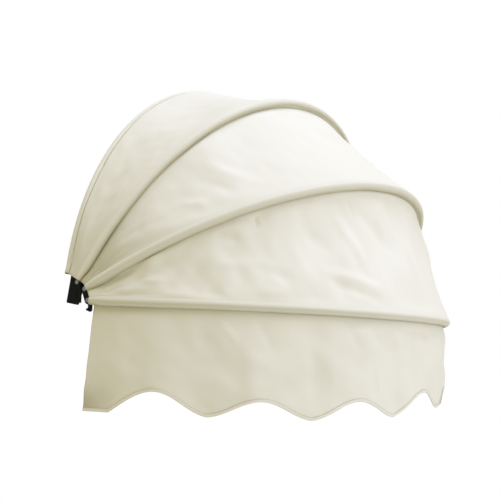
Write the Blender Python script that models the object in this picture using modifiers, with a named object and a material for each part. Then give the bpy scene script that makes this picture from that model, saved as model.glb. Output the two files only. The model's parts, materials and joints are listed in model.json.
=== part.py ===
"""Half-dome window awning: four hinged bows under a sewn fabric cover.

X runs along the wall, the plane y = 0 is the wall's face, -Y points away from the
wall and +Z is up. The origin lies midway between the two wall brackets, level with
their lower ends. All sizes are in metres and all angles in degrees.

Each bow has its own frame: x as in the world, z along the bow's reach from its
pivot, and -y towards the bow in front of it.
"""
import math

import bmesh
import bpy
import numpy as np
from mathutils import Matrix, Vector

# Bows: one tube each, a straight foot at both ends and one arc between them
HALF_SPAN = 0.588
FOOT_LENGTH = 0.014
FOOT_TILT = 4.8
TUBE_RADIUS = 0.0095
TUBE_WALL = 0.0015
WALL_ANGLE = 90.0
UPPER_ANGLE = 64.0
LOWER_ANGLE = 31.5
FRONT_ANGLE = 0.0

# Hinge chain: each pivot sits in front of the one before it
WALL_BOW_OFFSET = 0.014
WALL_BOW_FOOT = 0.0377
FIRST_PIVOT_HEIGHT = 0.052
FOLD_PITCH = 0.0275
PIVOT_SETBACK = 0.004

# Clearances
CLEARANCE = 0.0003
SLEEVE_CLEARANCE = 0.0004

# Links: flat ends in two layers beside the bows' middle plane
LINK_THICKNESS = 0.005
LOBE_RADIUS = 0.009
NECK_HALF_WIDTH = 0.007
INNER_CORNER = 0.003
SMALL_CORNER = 0.0015
COLLAR_LENGTH = 0.003
SPIGOT_LENGTH = 0.030
SPIGOT_END_GAP = 0.0015
EDGE_BREAK = 0.0005
BREAK_ANGLE = 50.0
SMOOTH_ANGLE = 40.0
MERGE_DISTANCE = 0.000005
HEEL_LENGTH = 0.0205
HEEL_LEAD = 0.002
HEEL_HALF_WIDTH = 0.005
KNOB_RADIUS = 0.003
KNOB_PROUD = 0.0025

# Rivets
RIVET_RADIUS = 0.003
RIVET_HEAD_RADIUS = 0.0055
RIVET_HEAD_HEIGHT = 0.0022
RIVET_HEAD_RIM = 0.0007
RIVET_CROWN_RADIUS = 0.0033
RIVET_CROWN_DROP = 0.0003

# Wall brackets
CHEEK_FOOT_BACK = 0.013
CHEEK_FOOT_FRONT = 0.046
CHEEK_FOOT_RISE = 0.005
CHEEK_NOSE_REACH = 0.0545
CHEEK_NOSE_HEIGHT = 0.026
CHEEK_CORNER = 0.003
ARM_HEIGHT = 0.078
ARM_DEPTH = 0.0075
ARM_BACK = 0.005
ARM_NECK = 0.0045
BOSS_LENGTH = 0.0125
FLANGE_INSET = 0.0405
FLANGE_WIDTH = 0.035
FLANGE_THICKNESS = 0.004
FLANGE_BOTTOM = 0.008
FLANGE_TOP = 0.075
WEB_THICKNESS = 0.005
WEB_BOTTOM = 0.010
WEB_REACH = 0.0245
WEB_LANDING = 0.0103
WEB_SINK = 0.0028
SCREW_HOLE_RADIUS = 0.0033
SCREW_HOLE_MARGIN = 0.014
SCREW_HOLE_INSET = 0.0455
HOLE_CUTTER_LENGTH = 0.020
PAD_HEIGHT = 0.0008
PAD_MARGIN = 0.007
PAD_TOP = 0.034

# Fabric cover
FABRIC = 0.001
SLEEVE_WALL = 0.0015
SLEEVE_MARGIN = 0.002
PANEL_SAG = 0.007
PANEL_ROWS = 4

# Valance and its binding
VALANCE_DROP = 0.244
SCALLOP_RISE = 0.044
SCALLOP_PITCH = 0.239
SCALLOP_POINT = 0.55
VALANCE_FOLD = 0.005
VALANCE_LEAN = 0.016
LEAN_REACH = 0.070
BINDING_WIDTH = 0.011
BINDING_WALL = 0.0007

# Resolution
BOW_STEPS = 24
COLUMNS_PER_SCALLOP = 10
VALANCE_ROWS = 2
LEAST_COLUMN_GAP = 0.008
CORNER_STEPS = 3
LOBE_STEPS = 5
ROUND_SIDES = 10

# Sizes that follow from the ones above
TILT = math.radians(FOOT_TILT)
BOW_RADIUS = (HALF_SPAN - FOOT_LENGTH * math.sin(TILT)) / math.cos(TILT)
ARC_CENTRE = FOOT_LENGTH * math.cos(TILT) - BOW_RADIUS * math.sin(TILT)
BOW_LENGTH = 2 * FOOT_LENGTH + BOW_RADIUS * (math.pi - 2 * TILT)
SLEEVE_RADIUS = TUBE_RADIUS + SLEEVE_CLEARANCE + SLEEVE_WALL
LINK_SLEEVE_START = LOBE_RADIUS + SLEEVE_MARGIN
ARM_TO_SLEEVE = SLEEVE_RADIUS * math.sin(2 * TILT) + CLEARANCE
WALL_SLEEVE_START = (ARM_HEIGHT - WALL_BOW_FOOT + ARM_TO_SLEEVE) / math.cos(TILT)
LAYER_OFFSET = (LINK_THICKNESS + CLEARANCE) / 2
OUTER_LAYER = HALF_SPAN + LAYER_OFFSET
INNER_LAYER = HALF_SPAN - LAYER_OFFSET
BOWS = ("wall", "upper", "lower", "front")
ANGLES = {"wall": WALL_ANGLE, "upper": UPPER_ANGLE, "lower": LOWER_ANGLE, "front": FRONT_ANGLE}
SIDES = {"left": -1, "right": 1}

# A flat outline (along, ahead) stands in the plane of a bow's frame that faces along X
STAND_UP = Matrix(((0, 0, 1, 0), (0, -1, 0, 0), (1, 0, 0, 0), (0, 0, 0, 1)))


def clear_scene():
    """Remove every object that the file opened with."""
    for item in list(bpy.data.objects):
        bpy.data.objects.remove(item, do_unlink=True)


def collection(name):
    """A collection of that name in the scene, made once."""
    found = bpy.data.collections.get(name)
    if found is None:
        found = bpy.data.collections.new(name)
        bpy.context.scene.collection.children.link(found)
    return found


def material(name, colour, roughness, metallic=0.0):
    """A Principled material."""
    made = bpy.data.materials.new(name)
    made.use_nodes = True
    shader = made.node_tree.nodes["Principled BSDF"]
    shader.inputs["Base Color"].default_value = (*colour, 1.0)
    shader.inputs["Roughness"].default_value = roughness
    shader.inputs["Metallic"].default_value = metallic
    return made


def keep(item, finish, parent=None):
    """Put a finished piece in the awning's collection, with its material and parent."""
    for owner in list(item.users_collection):
        owner.objects.unlink(item)
    collection("window_awning").objects.link(item)
    item.data.materials.clear()
    item.data.materials.append(finish)
    item.parent = parent
    return item


def tool(item, parent=None):
    """Put a cutter or a joined form in its own collection, hidden from renders."""
    for owner in list(item.users_collection):
        owner.objects.unlink(item)
    collection("cutters").objects.link(item)
    item.hide_render = True
    item.display_type = "WIRE"
    item.parent = parent
    return item


def boolean(item, other, operation):
    """Join or cut an object with another one, exactly."""
    change = item.modifiers.new(other.name, "BOOLEAN")
    change.operation = operation
    change.solver = "EXACT"
    change.object = tool(other, item.parent)


def mesh_object(name, mesh):
    """An object for a mesh, linked so that it can be evaluated."""
    item = bpy.data.objects.new(name, mesh)
    bpy.context.scene.collection.objects.link(item)
    return item


def welded(name, item):
    """Swap a curve object for a mesh object whose caps are joined to its sides."""
    graph = bpy.context.evaluated_depsgraph_get()
    mesh = bpy.data.meshes.new_from_object(item.evaluated_get(graph))
    bpy.data.objects.remove(item, do_unlink=True)
    work = bmesh.new()
    work.from_mesh(mesh)
    bmesh.ops.remove_doubles(work, verts=work.verts, dist=MERGE_DISTANCE)
    work.to_mesh(mesh)
    work.free()
    mesh.name = name
    return mesh_object(name, mesh)


def shade(item):
    """Smooth shading with sharp edges."""
    item.data.shade_smooth()
    item.data.set_sharp_from_angle(angle=math.radians(SMOOTH_ANGLE))
    return item


def pipe(name, points, radius, capped=True):
    """A round tube or rod along a list of points."""
    curve = bpy.data.curves.new(name, "CURVE")
    curve.dimensions = "3D"
    curve.bevel_depth = radius
    curve.bevel_resolution = 2
    curve.use_fill_caps = capped
    spline = curve.splines.new("POLY")
    spline.points.add(len(points) - 1)
    for point, place in zip(spline.points, points):
        point.co = (*place, 1.0)
    item = bpy.data.objects.new(name, curve)
    bpy.context.scene.collection.objects.link(item)
    return shade(welded(name, item))


def plate(name, outline, middle, thickness):
    """A flat plate of a given outline, standing across the X axis at x = middle."""
    curve = bpy.data.curves.new(name, "CURVE")
    curve.dimensions = "2D"
    curve.fill_mode = "BOTH"
    curve.extrude = thickness / 2
    spline = curve.splines.new("POLY")
    spline.points.add(len(outline) - 1)
    for point, (along, ahead) in zip(spline.points, outline):
        point.co = (along, ahead, 0.0, 1.0)
    spline.use_cyclic_u = True
    item = bpy.data.objects.new(name, curve)
    bpy.context.scene.collection.objects.link(item)
    item = welded(name, item)
    item.data.transform(Matrix.Translation((middle, 0, 0)) @ STAND_UP)
    return item


def break_edges(item):
    """Take the sharpness off a moulded plate's edges."""
    bevel = item.modifiers.new("edges", "BEVEL")
    bevel.width = EDGE_BREAK
    bevel.segments = 1
    bevel.limit_method = "ANGLE"
    bevel.angle_limit = math.radians(BREAK_ANGLE)


def box(name, size, centre, turn=0.0):
    """A box, turned about its upright axis."""
    work = bmesh.new()
    bmesh.ops.create_cube(work, size=1.0)
    bmesh.ops.scale(work, vec=size, verts=work.verts)
    placed = Matrix.Translation(centre) @ Matrix.Rotation(turn, 4, "Z")
    bmesh.ops.transform(work, matrix=placed, verts=work.verts)
    mesh = bpy.data.meshes.new(name)
    work.to_mesh(mesh)
    work.free()
    return mesh_object(name, mesh)


def cylinder(name, radius, length, centre, axis):
    """A round bar centred on a point, with its axis along X or Y."""
    turn = Matrix.Rotation(math.pi / 2, 4, "Y" if axis == "X" else "X")
    work = bmesh.new()
    bmesh.ops.create_cone(work, cap_ends=True, segments=ROUND_SIDES, radius1=radius,
                          radius2=radius, depth=length, matrix=Matrix.Translation(centre) @ turn)
    mesh = bpy.data.meshes.new(name)
    work.to_mesh(mesh)
    work.free()
    return mesh_object(name, mesh)


def rounded(corners):
    """An outline whose corners are arcs; each corner is (point, radius, steps)."""
    outline = []
    for index, (corner, radius, steps) in enumerate(corners):
        here = Vector(corner)
        back = (Vector(corners[index - 1][0]) - here).normalized()
        ahead = (Vector(corners[(index + 1) % len(corners)][0]) - here).normalized()
        if radius == 0:
            outline.append(tuple(here))
            continue
        half = back.angle(ahead) / 2
        centre = here + (back + ahead).normalized() * radius / math.sin(half)
        first = here + back * radius / math.tan(half) - centre
        last = here + ahead * radius / math.tan(half) - centre
        turn = first.angle_signed(last)
        for step in range(steps + 1):
            spoke = first.copy()
            spoke.rotate(Matrix.Rotation(-turn * step / steps, 2))
            outline.append(tuple(centre + spoke))
    apart = [math.dist(here, outline[index - 1]) > 1e-5 for index, here in enumerate(outline)]
    return [here for here, new in zip(outline, apart) if new]


def bow_point(length):
    """A bow's centreline at a length from its left pivot, as arrays (x, 0, reach).

    The foot is a straight line that leans inwards, and the arc starts on its tangent.
    """
    length = np.asarray(length, float)
    from_foot = np.minimum(length, BOW_LENGTH - length)
    angle = TILT + (from_foot - FOOT_LENGTH) / BOW_RADIUS
    on_foot = from_foot < FOOT_LENGTH
    wide = np.where(on_foot, HALF_SPAN - from_foot * math.sin(TILT), BOW_RADIUS * np.cos(angle))
    reach = np.where(on_foot, from_foot * math.cos(TILT), ARC_CENTRE + BOW_RADIUS * np.sin(angle))
    side = np.where(length > BOW_LENGTH / 2, 1.0, -1.0)
    return np.stack([side * wide, np.zeros_like(wide), reach], -1)


def sleeve_start(bow):
    """Length from the pivot at which a bow's sleeve begins."""
    return WALL_SLEEVE_START if bow == "wall" else LINK_SLEEVE_START


def tube_start(bow):
    """Length from the pivot at which a bow's tube begins."""
    return sleeve_start(bow) + SLEEVE_MARGIN + COLLAR_LENGTH


def sleeve_stations(bow):
    """Lengths at which the sleeve, the tube and the panels of a bow all have a ring."""
    first = tube_start(bow)
    second = first + SPIGOT_LENGTH
    left = [sleeve_start(bow), first]
    middle = np.linspace(second, BOW_LENGTH - second, BOW_STEPS + 1)
    right = [BOW_LENGTH - first, BOW_LENGTH - sleeve_start(bow)]
    return np.array([*left, *middle, *right])


def bow_frames():
    """The frame of each bow; each pivot is carried by the bow behind it."""
    def place(bow, pivot):
        turn = Matrix.Rotation(math.radians(90.0 - ANGLES[bow]), 4, "X")
        return Matrix.Translation(pivot) @ turn

    ahead = Vector((0, -FOLD_PITCH, -PIVOT_SETBACK))
    wall = place("wall", Vector((0, -WALL_BOW_OFFSET, WALL_BOW_FOOT)))
    upper = place("upper", Vector((0, -WALL_BOW_OFFSET - FOLD_PITCH, FIRST_PIVOT_HEIGHT)))
    lower = place("lower", upper @ ahead)
    return {"wall": wall, "upper": upper, "lower": lower, "front": place("front", lower @ ahead)}


def world_points(frame, points):
    """Points of a bow's frame as an array of world points."""
    turn = np.array(frame)
    return points @ turn[:3, :3].T + turn[:3, 3]


def tube_end(bow, side):
    """The middle of a tube's end and the direction into it, at the left or right pivot."""
    first = tube_start(bow)
    mouth, inside = bow_point([first, first + SPIGOT_LENGTH])
    inward = (inside - mouth) / np.linalg.norm(inside - mouth)
    mirror = np.array([-side, 1, 1])
    return mouth * mirror, inward * mirror


def make_tube(bow, finish, axis):
    """A bow's tube, bored at both ends for the spigots."""
    stations = sleeve_stations(bow)[1:-1]
    tube = keep(pipe(f"{bow}_bow", bow_point(stations), TUBE_RADIUS), finish, axis)
    for label, side in SIDES.items():
        mouth, inward = tube_end(bow, side)
        bore = [mouth - inward * COLLAR_LENGTH, mouth + inward * (SPIGOT_LENGTH + SPIGOT_END_GAP)]
        boolean(tube, pipe(f"{bow}_bore_{label}", bore, TUBE_RADIUS - TUBE_WALL), "DIFFERENCE")


def add_spigot(item, bow, side, collar):
    """Join the collar that a bow's tube stands on, and the spigot inside the tube."""
    mouth, inward = tube_end(bow, side)
    seat = [mouth - inward * collar, mouth - inward * CLEARANCE]
    inside = [mouth - inward * collar / 2, mouth + inward * SPIGOT_LENGTH]
    spigot_radius = TUBE_RADIUS - TUBE_WALL - CLEARANCE
    boolean(item, pipe(f"{item.name}_collar", seat, TUBE_RADIUS), "UNION")
    boolean(item, pipe(f"{item.name}_spigot", inside, spigot_radius), "UNION")


def link_outline(arm_end, arm_half, bow):
    """A link's outline: a lobe at the pivot, a neck along the bow and an arm ahead of it."""
    arm = Vector(arm_end)
    along = arm.normalized()
    across = Vector((along.y, -along.x)) * arm_half
    tip = arm + along * arm_half
    neck = tube_start(bow) - COLLAR_LENGTH / 2
    shoulder = LOBE_RADIUS + SLEEVE_MARGIN / 2
    inner = (arm_half - NECK_HALF_WIDTH * across.y / arm_half) / (across.x / arm_half)
    behind = (LOBE_RADIUS * across.y / arm_half - arm_half) / (across.x / arm_half)
    return rounded([
        ((neck, -NECK_HALF_WIDTH), 0, 0),
        ((neck, NECK_HALF_WIDTH), 0, 0),
        ((inner, NECK_HALF_WIDTH), INNER_CORNER, CORNER_STEPS),
        (tuple(tip + across), arm_half, LOBE_STEPS),
        (tuple(tip - across), arm_half, LOBE_STEPS),
        ((behind, -LOBE_RADIUS), arm_half, LOBE_STEPS),
        ((LOBE_RADIUS / 2, -LOBE_RADIUS), 0, 0),
        ((shoulder, -NECK_HALF_WIDTH), 0, 0),
    ])


def rivet_hole(item, name, place, layer):
    """Cut the hole for a rivet's shank."""
    centre = (layer, place[1], place[2])
    radius = RIVET_RADIUS + CLEARANCE
    boolean(item, cylinder(name, radius, HOLE_CUTTER_LENGTH, centre, "X"), "DIFFERENCE")


def make_link(bow, label, side, finish, axis):
    """The flat end of a bow: it hangs on the rivet behind and carries the one ahead."""
    layer = side * (OUTER_LAYER if bow == "lower" else INNER_LAYER)
    name = f"{bow}_link_{label}"
    if bow == "front":
        outline = front_link_outline(bow)
    else:
        outline = link_outline((-PIVOT_SETBACK, FOLD_PITCH), LOBE_RADIUS, bow)
    link = keep(plate(name, outline, layer, LINK_THICKNESS), finish, axis)
    break_edges(link)
    rivet_hole(link, f"{name}_rear_hole", (0, 0, 0), layer)
    if bow == "front":
        knob_at = (layer + side * KNOB_PROUD, -HEEL_LENGTH, HEEL_LEAD - HEEL_HALF_WIDTH)
        boolean(link, cylinder(f"{name}_knob", KNOB_RADIUS, LINK_THICKNESS, knob_at, "X"), "UNION")
    else:
        rivet_hole(link, f"{name}_fore_hole", (0, -FOLD_PITCH, -PIVOT_SETBACK), layer)
    add_spigot(link, bow, side, COLLAR_LENGTH)


def front_link_outline(bow):
    """The front link's outline: a lobe, a neck along the bow and a heel that hangs below."""
    neck = tube_start(bow) - COLLAR_LENGTH / 2
    shoulder = LOBE_RADIUS + SLEEVE_MARGIN / 2
    heel_front = HEEL_LEAD + HEEL_HALF_WIDTH
    heel_back = HEEL_LEAD - HEEL_HALF_WIDTH
    heel_end = HEEL_LENGTH + HEEL_HALF_WIDTH
    return rounded([
        ((neck, -NECK_HALF_WIDTH), 0, 0),
        ((neck, NECK_HALF_WIDTH), 0, 0),
        ((heel_front, NECK_HALF_WIDTH), SMALL_CORNER, CORNER_STEPS),
        ((heel_front, heel_end), HEEL_HALF_WIDTH, LOBE_STEPS),
        ((heel_back, heel_end), HEEL_HALF_WIDTH, LOBE_STEPS),
        ((heel_back, LOBE_RADIUS), SMALL_CORNER, CORNER_STEPS),
        ((-LOBE_RADIUS, LOBE_RADIUS), LOBE_RADIUS / 2, LOBE_STEPS),
        ((-LOBE_RADIUS, -LOBE_RADIUS), LOBE_RADIUS, LOBE_STEPS),
        ((LOBE_RADIUS / 2, -LOBE_RADIUS), 0, 0),
        ((shoulder, -NECK_HALF_WIDTH), 0, 0),
    ])


def cheek_outline():
    """The bracket's cheek: a leaning block, a lobe at the first pivot, an arm to the wall bow."""
    lobe_front = WALL_BOW_OFFSET + FOLD_PITCH + LOBE_RADIUS
    lobe_top = FIRST_PIVOT_HEIGHT + LOBE_RADIUS
    arm_front = WALL_BOW_OFFSET + FOLD_PITCH - SLEEVE_RADIUS - SLEEVE_MARGIN
    arm_bottom = ARM_HEIGHT - ARM_DEPTH
    return rounded([
        ((CHEEK_FOOT_RISE, CHEEK_FOOT_BACK), CHEEK_CORNER, CORNER_STEPS),
        ((0.0, CHEEK_FOOT_FRONT), CHEEK_CORNER, CORNER_STEPS),
        ((CHEEK_NOSE_HEIGHT, CHEEK_NOSE_REACH), CHEEK_CORNER, CORNER_STEPS),
        ((lobe_top, lobe_front), LOBE_RADIUS, LOBE_STEPS),
        ((lobe_top, arm_front), SMALL_CORNER, CORNER_STEPS),
        ((ARM_HEIGHT, arm_front), CHEEK_CORNER, CORNER_STEPS),
        ((ARM_HEIGHT, ARM_BACK), CHEEK_CORNER, CORNER_STEPS),
        ((arm_bottom, ARM_BACK), CHEEK_CORNER, CORNER_STEPS),
        ((arm_bottom, arm_front - ARM_NECK), SMALL_CORNER, CORNER_STEPS),
    ])


def make_bracket(label, side, finish):
    """A wall bracket: cheek, oblique web, wall flange, and the wall bow's boss and spigot."""
    name = f"wall_bracket_{label}"
    cheek = keep(plate(name, cheek_outline(), side * OUTER_LAYER, LINK_THICKNESS), finish)
    break_edges(cheek)
    shape_flange(cheek, name, side)
    pad_size = (PAD_HEIGHT * 2, CHEEK_FOOT_FRONT - CHEEK_FOOT_BACK - 2 * PAD_MARGIN,
                PAD_TOP - CHEEK_FOOT_RISE - PAD_MARGIN)
    pad_at = (side * (OUTER_LAYER + LINK_THICKNESS / 2),
              -(CHEEK_FOOT_FRONT + CHEEK_FOOT_BACK + PAD_MARGIN) / 2,
              (PAD_TOP + CHEEK_FOOT_RISE + PAD_MARGIN) / 2)
    boolean(cheek, box(f"{name}_pad", pad_size, pad_at), "UNION")
    rivet_hole(cheek, f"{name}_hole", (0, -WALL_BOW_OFFSET - FOLD_PITCH, FIRST_PIVOT_HEIGHT),
               side * OUTER_LAYER)
    return cheek


def shape_flange(cheek, name, side):
    """Join the web and the screwed flange that lie on the wall side of a cheek."""
    middle = side * (HALF_SPAN - FLANGE_INSET)
    height = FLANGE_TOP - FLANGE_BOTTOM
    flange_at = (middle, -FLANGE_THICKNESS / 2, FLANGE_BOTTOM + height / 2)
    outer = Vector((OUTER_LAYER, -WEB_REACH))
    inner = Vector((HALF_SPAN - FLANGE_INSET + WEB_LANDING, -WEB_SINK))
    run = outer - inner
    middle_of_web = (outer + inner) / 2
    web_at = (side * middle_of_web.x, middle_of_web.y, (WEB_BOTTOM + ARM_HEIGHT) / 2)
    web_size = (run.length, WEB_THICKNESS, ARM_HEIGHT - WEB_BOTTOM)
    web = box(f"{name}_web", web_size, web_at, side * math.atan2(run.y, run.x))
    boolean(cheek, web, "UNION")
    flange = box(f"{name}_flange", (FLANGE_WIDTH, FLANGE_THICKNESS, height), flange_at)
    boolean(cheek, flange, "UNION")
    levels = {"low": FLANGE_BOTTOM + SCREW_HOLE_MARGIN, "high": FLANGE_TOP - SCREW_HOLE_MARGIN}
    for end, level in levels.items():
        hole_at = (side * (HALF_SPAN - SCREW_HOLE_INSET), 0, level)
        hole = cylinder(f"{name}_{end}_hole", SCREW_HOLE_RADIUS, HOLE_CUTTER_LENGTH, hole_at, "Y")
        boolean(cheek, hole, "DIFFERENCE")


def fit_wall_spigot(cheek, side, frame):
    """Join the wall bow's boss and spigot, moved from the bow's frame to the bracket's."""
    before = len(cheek.modifiers)
    add_spigot(cheek, "wall", side, BOSS_LENGTH)
    for change in cheek.modifiers[before:]:
        change.object.data.transform(frame)


def make_rivet(name, pivot, side, finish, axis):
    """A rivet with two low domed heads, turned about its own axis."""
    half_grip = (OUTER_LAYER - INNER_LAYER + LINK_THICKNESS) / 2 + CLEARANCE
    rim = half_grip + RIVET_HEAD_RIM
    top = half_grip + RIVET_HEAD_HEIGHT
    upper = [(0.0, top), (RIVET_CROWN_RADIUS, top - RIVET_CROWN_DROP),
             (RIVET_HEAD_RADIUS, rim), (RIVET_HEAD_RADIUS, half_grip), (RIVET_RADIUS, half_grip)]
    lower = [(radius, -level) for radius, level in reversed(upper)]
    mesh = bpy.data.meshes.new(name)
    points = [(radius, 0.0, level) for radius, level in upper + lower]
    mesh.from_pydata(points, [(i, i + 1) for i in range(len(points) - 1)], [])
    rivet = keep(mesh_object(name, mesh), finish, axis)
    turned = rivet.modifiers.new("turned", "SCREW")
    turned.steps = ROUND_SIDES
    turned.render_steps = ROUND_SIDES
    turned.use_merge_vertices = True
    turned.merge_threshold = MERGE_DISTANCE
    rivet.rotation_euler = (0, math.pi / 2, 0)
    rivet.location = (side * HALF_SPAN, pivot[1], pivot[2])


def make_sleeve(bow, finish, axis):
    """The fabric tunnel that a bow runs through: an open tube with a wall."""
    points = bow_point(sleeve_stations(bow))
    sleeve = keep(pipe(f"{bow}_sleeve", points, SLEEVE_RADIUS, capped=False), finish, axis)
    wall = sleeve.modifiers.new("cloth", "SOLIDIFY")
    wall.thickness = SLEEVE_WALL
    wall.offset = -1.0


def sheet(name, grid, finish, parent=None):
    """A cloth sheet from a grid of points, rows by columns, given its thickness."""
    rows, columns, _ = grid.shape
    index = np.arange(rows * columns).reshape(rows, columns)
    faces = np.stack([index[:-1, :-1], index[:-1, 1:], index[1:, 1:], index[1:, :-1]], -1)
    mesh = bpy.data.meshes.new(name)
    mesh.from_pydata(grid.reshape(-1, 3).tolist(), [], faces.reshape(-1, 4).tolist())
    if parent is not None:
        mesh.transform(parent.matrix_world.inverted())
    cloth = keep(shade(mesh_object(name, mesh)), finish, parent)
    wall = cloth.modifiers.new("cloth", "SOLIDIFY")
    wall.thickness = FABRIC
    wall.offset = 0.0
    return cloth


def tangents(points):
    """Unit direction of travel at each point of a line."""
    step = np.gradient(points, axis=0)
    return step / np.linalg.norm(step, axis=1, keepdims=True)


def panel_edge(line, toward):
    """A panel's edge beside a sleeve: the centreline moved towards the next bow.

    The move is measured square to the sleeve, so that it clears the sleeve all along.
    """
    chord = toward - line
    chord /= np.linalg.norm(chord, axis=1, keepdims=True)
    lengthwise = np.sum(chord * tangents(line), axis=1, keepdims=True)
    return line + chord * (SLEEVE_RADIUS + CLEARANCE) / np.sqrt(1 - lengthwise ** 2)


def make_panel(name, rear, fore, frames, finish):
    """A cover panel: straight lines from bow to bow, drawn in a little towards the middle."""
    rear_line = world_points(frames[rear], bow_point(sleeve_stations(rear)))
    fore_line = world_points(frames[fore], bow_point(sleeve_stations(fore)))
    first = panel_edge(fore_line, rear_line)
    last = panel_edge(rear_line, fore_line)
    across = np.linspace(0, 1, PANEL_ROWS + 1)[:, None, None]
    grid = first + (last - first) * across
    middle = np.array(frames["wall"].translation)
    inward = middle - grid
    inward /= np.linalg.norm(inward, axis=2, keepdims=True)
    along = np.linspace(0, 1, grid.shape[1])[None, :, None]
    grid = grid + inward * PANEL_SAG * np.sin(np.pi * across) * np.sin(np.pi * along)
    sheet(name, grid, finish)


def valance_columns():
    """Lengths along the front bow at which the valance and its binding have a column."""
    half = BOW_LENGTH / 2 - sleeve_start("front")
    step = SCALLOP_PITCH / COLUMNS_PER_SCALLOP
    count = int(half / step)
    inside = np.arange(-count, count + 1) * step
    inside = inside[np.abs(inside) < half - LEAST_COLUMN_GAP]
    return BOW_LENGTH / 2 + np.array([-half, *inside, half])


def valance_drop(length):
    """How far the valance hangs below its top edge: round arches between pointed dips."""
    beyond = np.abs(length - BOW_LENGTH / 2)
    whole = math.floor(BOW_LENGTH / 2 / SCALLOP_PITCH - 0.5) + 0.5
    wave = np.abs(np.cos(np.pi * beyond / SCALLOP_PITCH))
    arch = SCALLOP_POINT * wave + (1 - SCALLOP_POINT) * wave ** 2
    arch = np.where(beyond > whole * SCALLOP_PITCH, 0.0, arch)
    return VALANCE_DROP - SCALLOP_RISE * arch


def valance_lines(frame):
    """The valance's top edge, and for each column its downward line and outward normal.

    Each column is straight: it swings out and in with the scallops, and near the two
    ends it leans back to the wall.
    """
    length = valance_columns()
    centre = world_points(frame, bow_point(length))
    travel = tangents(centre)
    outward = np.stack([travel[:, 1], -travel[:, 0], np.zeros(len(length))], 1)
    outward /= np.linalg.norm(outward, axis=1, keepdims=True)
    top = centre + np.array([0, 0, -SLEEVE_RADIUS - CLEARANCE])
    fold = VALANCE_FOLD * np.cos(2 * np.pi * (length - BOW_LENGTH / 2) / SCALLOP_PITCH)
    from_end = np.minimum(length, BOW_LENGTH - length) / LEAN_REACH
    lean = VALANCE_LEAN * np.exp(-from_end ** 2)
    away = outward * fold[:, None] + np.array([0, 1, 0]) * lean[:, None]
    down = away / VALANCE_DROP + np.array([0, 0, -1.0])
    return length, top, down, outward


def make_valance(frame, finish, axis):
    """The valance below the front bow, with its scalloped edge."""
    length, top, down, _ = valance_lines(frame)
    depth = np.linspace(1, 0, VALANCE_ROWS + 1)[:, None, None] * valance_drop(length)[None, :, None]
    sheet("valance", top + down * depth, finish, axis)


def make_binding(frame, finish, axis):
    """The tape folded over the scalloped edge: a channel that the valance's edge sits in."""
    length, top, down, outward = valance_lines(frame)
    drop = valance_drop(length)
    slope = np.gradient(drop, length)
    lift = BINDING_WIDTH * np.sqrt(1 + slope ** 2)
    inner = FABRIC / 2 + CLEARANCE
    outer = inner + BINDING_WALL
    seat = np.full_like(drop, CLEARANCE)
    sole = seat + BINDING_WALL
    profile = [(-lift, outer), (sole, outer), (sole, -outer), (-lift, -outer),
               (-lift, -inner), (seat, -inner), (seat, inner), (-lift, inner)]
    rings = [top + down * (drop + below)[:, None] + outward * aside for below, aside in profile]
    tape = loft("valance_binding", np.stack(rings), axis.matrix_world.inverted())
    keep(tape, finish, axis)


def loft(name, rings, place):
    """A closed body through rings of points, with flat ends; the array is ring by station."""
    sides, stations, _ = rings.shape
    index = np.arange(sides * stations).reshape(sides, stations)
    turned = np.roll(index, -1, axis=0)
    faces = np.stack([index[:, :-1], index[:, 1:], turned[:, 1:], turned[:, :-1]], -1)
    half = sides // 2
    ends = []
    for station in (0, stations - 1):
        column = index[:, station].tolist()
        ends += [[column[0], column[1], column[half + 2], column[half + 3]],
                 [column[1], column[2], column[half + 1], column[half + 2]],
                 [column[2], column[3], column[half], column[half + 1]]]
    mesh = bpy.data.meshes.new(name)
    mesh.from_pydata(rings.reshape(-1, 3).tolist(), [], faces.reshape(-1, 4).tolist() + ends)
    mesh.transform(place)
    work = bmesh.new()
    work.from_mesh(mesh)
    bmesh.ops.recalc_face_normals(work, faces=work.faces)
    work.to_mesh(mesh)
    work.free()
    return mesh_object(name, mesh)


def add_axis(name, frame):
    """An empty on a pivot's axis, turned with its bow."""
    axis = bpy.data.objects.new(name, None)
    axis.empty_display_size = LOBE_RADIUS * 2
    axis.matrix_world = frame
    collection("window_awning").objects.link(axis)
    return axis


def main():
    clear_scene()
    fabric = material("cream_cloth", (0.86, 0.83, 0.76), 0.85)
    moulded = material("black_moulding", (0.012, 0.012, 0.010), 0.5)
    aluminium = material("aluminium_tube", (0.75, 0.76, 0.77), 0.35, 1.0)
    steel = material("rivet_steel", (0.62, 0.62, 0.60), 0.35, 1.0)
    frames = bow_frames()
    axes = {bow: add_axis(f"{bow}_axis", frame) for bow, frame in frames.items()}
    bpy.context.view_layer.update()
    for bow in BOWS:
        make_tube(bow, aluminium, axes[bow])
        make_sleeve(bow, fabric, axes[bow])
    for label, side in SIDES.items():
        bracket = make_bracket(label, side, moulded)
        fit_wall_spigot(bracket, side, frames["wall"])
        make_rivet(f"upper_rivet_{label}", frames["upper"].translation, side, steel, None)
        for bow in ("upper", "lower", "front"):
            make_link(bow, label, side, moulded, axes[bow])
        ahead = (0, -FOLD_PITCH, -PIVOT_SETBACK)
        make_rivet(f"lower_rivet_{label}", ahead, side, steel, axes["upper"])
        make_rivet(f"front_rivet_{label}", ahead, side, steel, axes["lower"])
    make_panel("rear_panel", "wall", "upper", frames, fabric)
    make_panel("middle_panel", "upper", "lower", frames, fabric)
    make_panel("front_panel", "lower", "front", frames, fabric)
    make_valance(frames["front"], fabric, axes["front"])
    make_binding(frames["front"], fabric, axes["front"])


main()
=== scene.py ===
"""Half-dome window awning: a sewn cream cover on four hinged aluminium bows.

The cover, its tunnels, valance and edge tape are worked out here as cloth surfaces over the
packed bows; brackets, links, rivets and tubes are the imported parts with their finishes.
"""

import json
import math

import bpy
import numpy as np
from mathutils import Matrix, Vector


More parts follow.
